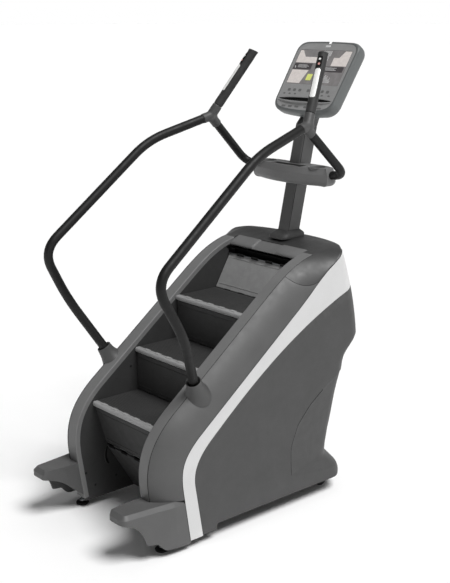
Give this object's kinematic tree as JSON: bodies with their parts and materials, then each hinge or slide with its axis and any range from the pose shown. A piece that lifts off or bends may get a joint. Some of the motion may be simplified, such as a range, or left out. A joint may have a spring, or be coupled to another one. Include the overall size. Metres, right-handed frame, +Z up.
{
  "type": "stair climber",
  "caption": "Gym stepmill: revolving stair between moulded side housings, long bent handrails with pulse grips, accessory tray and tilted console on a mast",
  "frame": {"origin": "centre of the bounding box's base, on the floor", "axes": "+Z up; +Y from the step-on side towards the console; +X to the user's right; X = 0 is the symmetry plane"},
  "size_m": [0.885, 1.5862, 2.0997],
  "materials": {
    "border_grey": "moulded, fine grain",
    "shoulder_grey": "moulded, fine grain",
    "side_grey": "moulded, fine grain",
    "stripe_silver": "satin silver paint on plastic",
    "hood_grey": "moulded, fine grain",
    "well_black": "moulded, coarse grain",
    "cover_grey": "moulded, fine grain",
    "joint_grey": "moulded, fine grain",
    "rail_black": "satin black powder coat",
    "grip_rubber": "soft grip",
    "sensor_white": "smooth white",
    "button_red": "smooth",
    "mast_grey": "satin powder coat",
    "tray_grey": "moulded, fine grain",
    "console_shell_grey": "moulded, fine grain",
    "console_face_grey": "smooth overlay",
    "screen_glass": "glossy dark display window",
    "step_black": "ribbed, coarse grain",
    "riser_grey": "moulded, fine grain",
    "frame_black": "black powder coat",
    "steel": "machined",
    "foot_rubber": "matt black",
    "control_box_black": "moulded"
  },
  "bodies": {
    "frame": {"base_frame": "frame_black", "top_cover": "hood_grey", "rear_cover": "side_grey", "left_border_trim": "border_grey", "left_shoulder_cover": "shoulder_grey", "left_stripe_panel": "stripe_silver", "left_side_cover": "side_grey", "left_inner_wall": "well_black", "left_foot_cover": "cover_grey", "left_handrail": "rail_black", "left_rail_collar": "joint_grey", "left_y_joint": "joint_grey", "left_lower_tube": "rail_black", "left_grip": "grip_rubber", "left_pulse_sensor": "sensor_white", "right_border_trim": "border_grey", "right_shoulder_cover": "shoulder_grey", "right_stripe_panel": "stripe_silver", "right_side_cover": "side_grey", "right_inner_wall": "well_black", "right_foot_cover": "cover_grey", "right_handrail": "rail_black", "right_rail_collar": "joint_grey", "right_y_joint": "joint_grey", "right_lower_tube": "rail_black", "right_grip": "grip_rubber", "right_pulse_sensor": "sensor_white", "mast": "mast_grey", "mast_boot": "joint_grey", "accessory_tray": "tray_grey", "console_shell": "console_shell_grey", "console_face": "console_face_grey", "console_screen": "screen_glass", "console_neck": "joint_grey", "control_box": "control_box_black"},
    "stair": {"tread_1": "step_black", "tread_2": "step_black", "tread_3": "step_black", "riser_1": "riser_grey", "riser_2": "step_black", "riser_3": "step_black", "riser_4": "step_black", "turn_plate": "step_black", "left_step_chain": "steel", "right_step_chain": "steel"},
    "return_run": {"return_step_1": "step_black", "return_step_2": "step_black"},
    "upper_shaft": {"upper_shaft": "steel"},
    "lower_shaft": {"lower_shaft": "steel"},
    "flywheel": {"brake_flywheel": "steel"},
    "left_upper_button": {"left_upper_button": "button_red"},
    "left_top_button": {"left_top_button": "sensor_white"},
    "left_front_foot": {"left_front_foot": "foot_rubber"},
    "left_rear_foot": {"left_rear_foot": "foot_rubber"},
    "left_transport_wheel": {"left_transport_wheel": "foot_rubber"},
    "right_upper_button": {"right_upper_button": "button_red"},
    "right_top_button": {"right_top_button": "sensor_white"},
    "right_front_foot": {"right_front_foot": "foot_rubber"},
    "right_rear_foot": {"right_rear_foot": "foot_rubber"},
    "right_transport_wheel": {"right_transport_wheel": "foot_rubber"}
  },
  "joints": [
    {"name": "stair_travel", "type": "slide", "parent": "frame", "child": "stair", "axis": [0, -0.7623, -0.6472], "range_m": [-0.02, 0.04]},
    {"name": "return_travel", "type": "slide", "parent": "frame", "child": "return_run", "axis": [0, 0.7623, 0.6472], "range_m": [-0.0205, 0.041]},
    {"name": "upper_shaft_turn", "type": "hinge", "parent": "frame", "child": "upper_shaft", "pos_m": [0, 0.10806, 0.69983], "axis": [1, 0, 0], "range_deg": [-16, 32]},
    {"name": "lower_shaft_turn", "type": "hinge", "parent": "frame", "child": "lower_shaft", "pos_m": [0, -0.32494, 0.33222], "axis": [1, 0, 0], "range_deg": [-16, 32]},
    {"name": "flywheel_turn", "type": "hinge", "parent": "frame", "child": "flywheel", "pos_m": [0, 0.08289, 0.25], "axis": [1, 0, 0], "range_deg": [-31, 62]},
    {"name": "left_upper_button_press", "type": "slide", "parent": "frame", "child": "left_upper_button", "axis": [0.3108, 0.7597, -0.5712], "range_m": [0, 0.0015], "stiffness_N_per_m": 600, "springref_m": -0.0005},
    {"name": "left_top_button_press", "type": "slide", "parent": "frame", "child": "left_top_button", "axis": [0.3108, 0.7597, -0.5712], "range_m": [0, 0.0015], "stiffness_N_per_m": 600, "springref_m": -0.0005},
    {"name": "left_front_foot_screw", "type": "hinge", "parent": "frame", "child": "left_front_foot", "pos_m": [-0.304, -0.55711, 0.02], "axis": [0, 0, 1], "range_deg": [-180, 180]},
    {"name": "left_rear_foot_screw", "type": "hinge", "parent": "frame", "child": "left_rear_foot", "pos_m": [-0.236, 0.36289, 0.02], "axis": [0, 0, 1], "range_deg": [-180, 180]},
    {"name": "left_wheel_turn", "type": "hinge", "parent": "frame", "child": "left_transport_wheel", "pos_m": [-0.292, 0.42789, 0.038], "axis": [1, 0, 0], "continuous": true},
    {"name": "right_upper_button_press", "type": "slide", "parent": "frame", "child": "right_upper_button", "axis": [-0.3108, 0.7597, -0.5712], "range_m": [0, 0.0015], "stiffness_N_per_m": 600, "springref_m": -0.0005},
    {"name": "right_top_button_press", "type": "slide", "parent": "frame", "child": "right_top_button", "axis": [-0.3108, 0.7597, -0.5712], "range_m": [0, 0.0015], "stiffness_N_per_m": 600, "springref_m": -0.0005},
    {"name": "right_front_foot_screw", "type": "hinge", "parent": "frame", "child": "right_front_foot", "pos_m": [0.304, -0.55711, 0.02], "axis": [0, 0, 1], "range_deg": [-180, 180]},
    {"name": "right_rear_foot_screw", "type": "hinge", "parent": "frame", "child": "right_rear_foot", "pos_m": [0.236, 0.36289, 0.02], "axis": [0, 0, 1], "range_deg": [-180, 180]},
    {"name": "right_wheel_turn", "type": "hinge", "parent": "frame", "child": "right_transport_wheel", "pos_m": [0.292, 0.42789, 0.038], "axis": [1, 0, 0], "continuous": true}
  ],
  "couplings": [
    {"joint": "return_travel", "follows": "stair_travel", "ratio": 1},
    {"joint": "upper_shaft_turn", "follows": "stair_travel", "rad_per_m": 13.333},
    {"joint": "lower_shaft_turn", "follows": "stair_travel", "rad_per_m": 13.333},
    {"joint": "flywheel_turn", "follows": "stair_travel", "rad_per_m": 26.191}
  ]
}
